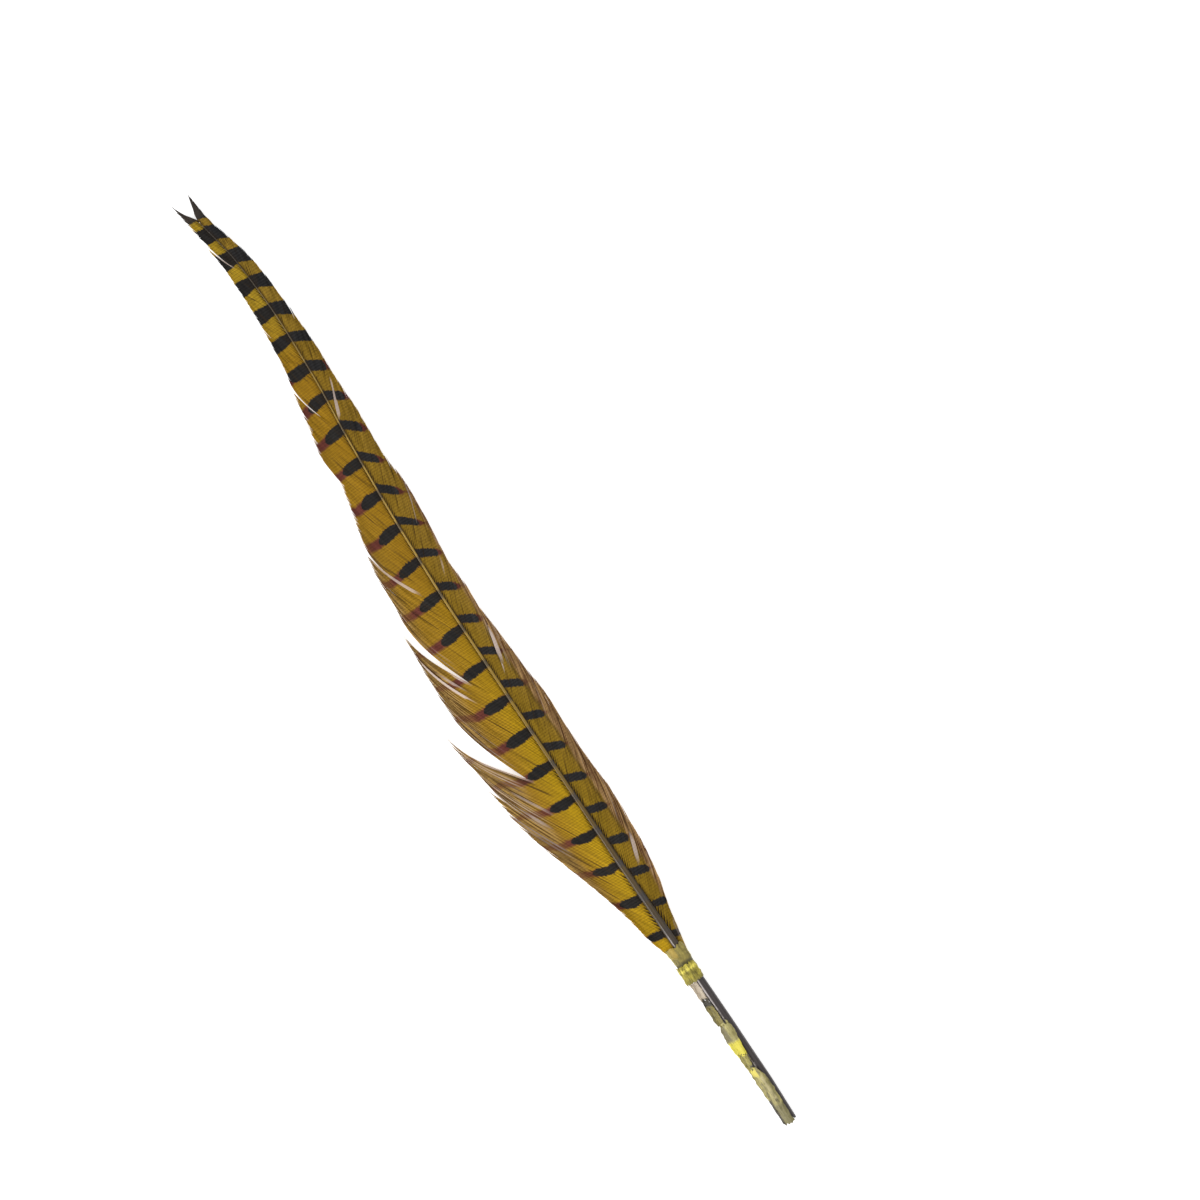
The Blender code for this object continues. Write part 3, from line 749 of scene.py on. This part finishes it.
def shaft():
    """The quill and rachis: rings of a squarish round section along the bow. At the cut end the skin
    turns in and runs back up the hollow quill, and the rim is uneven, with a slit between two points."""
    inner = np.linspace(HOLLOW_DEPTH, 0.25, HOLLOW_RINGS)
    cut = np.linspace(0, 8, 11, endpoint=False)
    bare = np.linspace(8, 75, 45, endpoint=False)
    outer = np.concatenate([cut, bare, np.linspace(75, SHAFT_END, 150)])
    station = np.concatenate([inner, [0.02], outer])[:, None]
    hollow = np.concatenate([np.linspace(0.3, 0.66, HOLLOW_RINGS), [0.85], np.ones(len(outer))])[:, None]
    inside = np.concatenate([np.ones(HOLLOW_RINGS), [0.6], np.zeros(len(outer))])[:, None]

    turn = np.linspace(0, 2 * math.pi, SHAFT_COLUMNS, endpoint=False)[None]
    squareness = 1 - 0.18 * ease(60, 110, station)
    cosine = np.sign(np.cos(turn)) * np.abs(np.cos(turn)) ** squareness
    sine = np.sign(np.sin(turn)) * np.abs(np.sin(turn)) ** squareness
    radius = smooth(SHAFT_RADIUS, station)
    rough = 1 + 0.018 * ripple(3, (station, 26.0), (np.cos(turn), 2.0), (np.sin(turn), 2.0))
    reach = radius * rough * hollow

    # The left point reaches past the cut, the right one stops short of it, and the slit runs in between
    rim = -1.0 * np.clip(cosine, 0, 1) - 0.1 * np.clip(-cosine, 0, 1)
    rim = rim + 2.3 * np.exp(-((turn - 0.56 * math.pi) / 0.26) ** 2)
    rim = rim + 0.22 * ripple(9, (np.cos(turn), 0.6), (np.sin(turn), 0.6))
    shifted = station + rim * np.exp(-station / 1.6)

    across = smooth(SHAFT_BOW, station) + reach * cosine
    middle = smooth(SHAFT_RISE, station) + radius * math.cos(math.pi / 12)
    height = np.maximum(middle + reach * sine, smooth(SHAFT_RISE, station) + 0.02)
    groove = ease(80, 120, station) * 0.25 * radius * np.exp(-((turn - 1.5 * math.pi) / 0.35) ** 2)
    points = place(shifted, across, height + groove)
    marks = {
        "around": together(shifted, cosine, inside)[None],
        "bars": bar_marks(1, shifted, np.full_like(shifted, 1.5))[None],
    }
    made = skin("shaft_horn", points[None], shaft_finish(), marks, 4, layout=folded_chart, sharp=80)
    return finished(made, "shaft")


# ---------------------------------------------------------------- sheath and collar

# The sheath: the height of its upper face at places across, a skirt down from the quill's top
SKIRT = [(-3.4, 1.5), (-2.6, 3.3), (-1.8, 4.0), (-0.9, 4.2), (0.0, 4.0), (0.7, 3.4), (1.5, 2.2)]
SKIRT += [(2.3, 1.1), (3.7, 0.42)]
# Each flake: stations, with its right and left edges there
FLAKES = {
    "pale_strip": [(52.6, 0.6, 3.2), (56, 0.55, 3.5), (60.9, 0.5, 3.6)],
    "sheath_flake_1": [(41.6, 0.5, 3.2), (47, 0.55, 3.4), (53.4, 0.6, 3.2)],
    "sheath_flake_2": [
        (28.7, -0.2, 3.1), (32, -0.6, 3.65), (35.5, -0.9, 3.7), (39, -1.35, 3.5), (42.6, -1.0, 2.4),
    ],
    "sheath_flake_3": [(22.4, 0.5, 2.9), (25, 0.3, 3.2), (29.6, -0.2, 3.2)],
    "sheath_flake_4": [
        (-0.7, -1.3, 2.9), (6, -1.4, 2.9), (14, -1.7, 2.95), (19, -1.5, 3.1), (23.1, 0.1, 2.7),
    ],
}
FLAKE_ROWS = 60
FLAKE_COLUMNS = 18
SHEATH_THICKNESS = 0.16
LOWEST_SHEATH = 0.26
# The collar and the band round it: stations of their ends, the collar's flattened round section and the
# thickness of its wall, the angles between which the band lies, from the right side, and their grids
COLLAR = (60.9, 75.6)
COLLAR_CENTRE = 0.42
COLLAR_MIDDLE = 2.4
COLLAR_HALF_WIDTH = [(60, 3.35), (67, 3.4), (71, 3.5), (76, 3.85)]
COLLAR_HALF_HEIGHT = 2.35
COLLAR_SQUARENESS = 0.85
COLLAR_WALL = 0.22
COLLAR_COLUMNS = 26
COLLAR_TURNS = 72
COLLAR_PINCH_AT = 68.4
BAND = (61.0, 68.0)
BAND_REACH = (36, 168)
BAND_ABOVE_COLLAR = 0.42
BAND_THICKNESS = 0.2
BAND_ROWS = 64
BAND_COLUMNS = 22


def sheath_finish(name, light, deep, shade, patches=()):
    """Papery dried sheath: streaks along the quill between a light and a deep colour, mottled with a
    shade, with crinkles across. A patch has stations to start and end at, its lowest and highest place
    across, and its own colour."""
    f = Finish(name, Specular_IOR_Level=0.35)
    here = f.spot()
    x, y, z = f.split(here)
    station = x * 1000 + MID_STATION
    across = y * 1000 + MID_ACROSS
    streak = f.noise(f.vector(x * 170.0, y * 850.0, z * 600.0), 1.0, 4.0, 0.65)
    cloud = f.noise(here, 420.0, 4.0, 0.6)
    crinkle = f.noise(f.vector(x * 1100.0, y * 420.0, z * 420.0), 1.0, 3.0)
    ragged = cloud * 0.9 + streak * 1.3
    colour = f.blend(f.held(0.5 + streak * 1.1 + cloud * 0.6), deep, light)
    for start, end, right, left, own in patches:
        along_it = f.held((station - start + ragged) * 1.1) * f.held((end - station + ragged) * 1.1)
        across_it = f.held((across - right + cloud * 0.5) * 2.0) * f.held((left - across + cloud * 0.5) * 2.0)
        own = f.brighten(own, 1 + streak * 0.22 + cloud * 0.10)
        colour = f.blend(along_it * across_it, colour, own)
    colour = f.blend(f.held(cloud * 1.2 + streak * 0.5 - 0.35) * 0.75, colour, shade)
    colour = f.brighten(colour, 1 + crinkle * 0.12)
    rough = f.held(0.48 + cloud * 0.08)
    return f.wear(colour, rough, streak * 0.7 + crinkle * 0.6 + cloud * 0.6, 0.14)


def shell(upper, thickness):
    """A thin closed shell under a grid of points (rows, columns): the columns run across its upper face
    and back across its lower face, which lies below by the thickness along the grid's own normal."""
    rows = np.gradient(upper, axis=0)
    columns = np.gradient(upper, axis=1)
    normal = np.cross(rows, columns)
    normal = normal / np.linalg.norm(normal, axis=-1, keepdims=True)
    lower = upper - normal * thickness[..., None] * MM
    return np.concatenate([upper, lower[:, ::-1]], axis=1)


def flake(name, edges, finish, seed):
    """A flake of sheath: a strip of the skirt between two uneven edges, wrinkled, with lifted ends."""
    edges = np.array(edges, float)
    along = np.linspace(0, 1, FLAKE_ROWS)[:, None]
    beside = np.linspace(0, 1, FLAKE_COLUMNS)[None]
    station = edges[0, 0] + (edges[-1, 0] - edges[0, 0]) * along
    right = smooth(edges[:, [0, 1]], station) + 0.13 * ripple(seed, (station, 2.6))
    left = smooth(edges[:, [0, 2]], station) + 0.13 * ripple(seed + 1, (station, 3.1))
    across = right + (left - right) * beside
    ragged = 0.42 * ripple(seed + 2, (across, 1.5)) * (along - 0.5) * 2 * np.abs(2 * along - 1) ** 6
    station = station + ragged
    curl = 0.22 * np.abs(2 * along - 1) ** 9
    crease = 0.15 * ripple(seed + 3, (station, 6.0), (across, 1.2))
    crease = crease + 0.07 * ripple(seed + 4, (station, 2.0), (across, 0.7))
    height = smooth(SKIRT, across) + crease * (1 - ease(2.9, 3.6, across)) + curl
    upper = place(station, across, np.maximum(height, LOWEST_SHEATH))
    sheet = shell(upper[:, ::-1], SHEATH_THICKNESS * (1 - 0.7 * np.abs(2 * beside - 1) ** 5))
    made = skin(name + "_paper", sheet[None], finish)
    return finished(made, name)


def sleeve(station, angle, grow):
    """Points on the flattened sleeve round the shaft, by the angle from its right side."""
    sideways = np.sign(np.cos(angle)) * np.abs(np.cos(angle)) ** COLLAR_SQUARENESS
    upwards = np.sign(np.sin(angle)) * np.abs(np.sin(angle)) ** COLLAR_SQUARENESS
    across = COLLAR_CENTRE - (smooth(COLLAR_HALF_WIDTH, station) + grow) * sideways
    return place(station, across, COLLAR_MIDDLE + (COLLAR_HALF_HEIGHT + grow) * upwards)


def collar():
    """The skin collar: a wrinkled sleeve of skin with frayed ends, its inner wall a little inside it."""
    angle = np.linspace(0, 2 * math.pi, COLLAR_TURNS, endpoint=False)[:, None]
    there = np.linspace(0, 1, COLLAR_COLUMNS)
    along = np.concatenate([there, there[::-1]])[None]
    inner = np.repeat([0.0, 1.0], COLLAR_COLUMNS)[None]
    station = COLLAR[0] + (COLLAR[1] - COLLAR[0]) * along
    fray = 0.45 * ripple(21, (np.cos(angle), 0.5), (np.sin(angle), 0.5)) * along**6
    wrinkle = 0.13 * ripple(22, (station, 3.2), (np.cos(angle), 1.2), (np.sin(angle), 1.2))
    wrinkle = wrinkle + 0.07 * ripple(23, (station, 1.3), (np.cos(angle), 0.6), (np.sin(angle), 0.6))
    pinch = -0.16 * np.exp(-((station - COLLAR_PINCH_AT) / 1.0) ** 2)
    grow = (wrinkle + pinch) * (1 - 0.3 * inner) - COLLAR_WALL * inner - 0.12 * np.abs(2 * along - 1) ** 8
    points = sleeve(station + fray, angle, grow)
    points[..., 2] = np.maximum(points[..., 2], 0.03 * MM)
    made = skin("skin_collar_wall", points[None], SKIN_FINISH, ring=True)
    return finished(made, "skin_collar")


def band():
    """The yellow band: a crinkled strip of sheath over the top of the collar, with uneven edges."""
    turn = np.linspace(0, 1, BAND_ROWS)[:, None]
    along = np.linspace(0, 1, BAND_COLUMNS)[None]
    angle = np.radians(BAND_REACH[0] + (BAND_REACH[1] - BAND_REACH[0]) * turn)
    station = BAND[0] + (BAND[1] - BAND[0]) * along
    ragged = 0.24 * ripple(31, (turn, 0.14)) * np.abs(2 * along - 1) ** 4 * np.sign(along - 0.5)
    crinkle = 0.12 * ripple(32, (station, 2.6), (turn, 0.13))
    crinkle = crinkle + 0.06 * ripple(33, (station, 1.0), (turn, 0.07))
    grow = BAND_ABOVE_COLLAR + crinkle + 0.1 * np.abs(2 * along - 1) ** 8
    upper = sleeve(station + ragged, angle, grow)
    sheet = shell(upper, BAND_THICKNESS * (1 - 0.6 * np.abs(2 * turn - 1) ** 8))
    made = skin("yellow_band_paper", sheet[None], BAND_FINISH)
    return finished(made, "yellow_band")


SKIN_FINISH = sheath_finish(
    "dried_skin", tint(186, 170, 90), tint(98, 88, 48), tint(74, 68, 44),
    [(66.8, 69.6, -9, 9, tint(104, 97, 60)), (71, 76.5, 0.6, 3.4, tint(184, 158, 74))],
)
BAND_FINISH = sheath_finish(
    "yellow_sheath", tint(216, 201, 82), tint(122, 112, 46), tint(92, 84, 46),
    [(59, 62.2, -5, 6, tint(152, 142, 74)), (65.2, 66.9, -5, 5, tint(246, 231, 104))],
)
# Each flake's slot, name of finish, light, deep and shade colours, and patches
FLAKE_FINISHES = {
    "pale_strip": (
        "pale_sheath", "pale_paper", tint(204, 190, 168), tint(164, 148, 126), tint(130, 116, 90),
        [(50, 54.0, 0, 6, tint(76, 70, 56))],
    ),
    "sheath_flake_1": (
        "yellow_sheath", "olive_paper_1", tint(152, 139, 74), tint(92, 83, 42), tint(66, 60, 44),
        [(49.8, 56, -2, 6, tint(60, 55, 44))],
    ),
    "sheath_flake_2": (
        "yellow_sheath", "lemon_paper", tint(196, 186, 122), tint(146, 137, 84), tint(112, 105, 72),
        [(27, 35.2, -3, 6, tint(222, 209, 76)), (34.8, 42, 1.3, 6, tint(128, 120, 86))],
    ),
    "sheath_flake_3": (
        "yellow_sheath", "olive_paper_3", tint(172, 161, 86), tint(110, 101, 52), tint(76, 70, 46),
        [(21, 24.6, -1, 1.7, tint(62, 57, 44))],
    ),
    "sheath_flake_4": (
        "yellow_sheath", "streaky_paper", tint(192, 181, 116), tint(96, 89, 56), tint(82, 77, 62),
        [(-4, 7.5, -3, 2.2, tint(128, 121, 82)), (-4, 10, 1.9, 6, tint(84, 79, 68)),
         (8.5, 19.5, -0.7, 0.9, tint(188, 177, 128)), (19.2, 24, 0.4, 2.9, tint(222, 207, 98))],
    ),
}


# ---------------------------------------------------------------- stage


FLOOR_HALF = 9.0
FLOOR_LEVEL = -0.0001


def floor_finish():
    """Pale matt floor, with a glow that keeps the shadows faint."""
    f = Finish("pale_floor", Specular_IOR_Level=0.1, Emission_Color=(1, 1, 1, 1), Emission_Strength=0.6)
    grain = f.noise(f.spot(), 40.0, 2.0)
    return f.wear(f.brighten(tint(250, 250, 250), 1 + grain * 0.004), f.held(0.9 + grain * 0.02), grain, 0.01)


def stage():
    """The floor: one square just under the feather."""
    rim = [(-1, -1), (1, -1), (1, 1), (-1, 1)]
    mesh = bpy.data.meshes.new("floor")
    mesh.from_pydata([(x * FLOOR_HALF, y * FLOOR_HALF, FLOOR_LEVEL) for x, y in rim], [], [(0, 1, 2, 3)])
    mesh.materials.append(floor_finish())
    floor = bpy.data.objects.new("floor", mesh)
    bpy.context.scene.collection.objects.link(floor)


def lamp(name, at, width, depth, power):
    """A soft rectangular lamp, its width level, turned to the middle of the frame."""
    data = bpy.data.lights.new(name, "AREA")
    data.shape = "RECTANGLE"
    data.size = width
    data.size_y = depth
    data.energy = power
    made = bpy.data.objects.new(name, data)
    made.location = at
    made.rotation_euler = (-Vector(at)).to_track_quat("-Z", "Y").to_euler()
    bpy.context.scene.collection.objects.link(made)


def lighting():
    """A soft white sky, a long low lamp on the left vane's side and a weak high one on the right."""
    world = bpy.data.worlds.new("soft_studio")
    world.use_nodes = True
    sky = world.node_tree.nodes["Background"]
    sky.inputs["Color"].default_value = (1, 1, 1, 1)
    sky.inputs["Strength"].default_value = 0.55
    bpy.context.scene.world = world
    lamp("key", (-0.05, 1.05, 0.74), 1.3, 0.28, 9.5)
    lamp("fill", (-0.5, -0.6, 1.3), 0.8, 0.8, 2.0)
    bpy.context.scene.view_settings.view_transform = "Standard"


def camera():
    """A long lens straight above, turned so that the feather lies with its quill at the lower right."""
    data = bpy.data.cameras.new("camera")
    data.sensor_width = 36.0
    data.lens = 99.5
    data.clip_start = 0.01
    made = bpy.data.objects.new("camera", data)
    made.location = (-0.0046, -0.0542, 1.2)
    made.rotation_euler = (0, 0, math.radians(-123.6))
    bpy.context.scene.collection.objects.link(made)
    bpy.context.scene.camera = made


shaft()
for name, (side, tufts) in TUFTS.items():
    lock(name, side, tufts)
collar()
band()
for seed, (name, edges) in enumerate(FLAKES.items()):
    slot, *settings = FLAKE_FINISHES[name]
    flake(name, edges, sheath_finish(*settings), 40 + 10 * seed)
stage()
lighting()
camera()
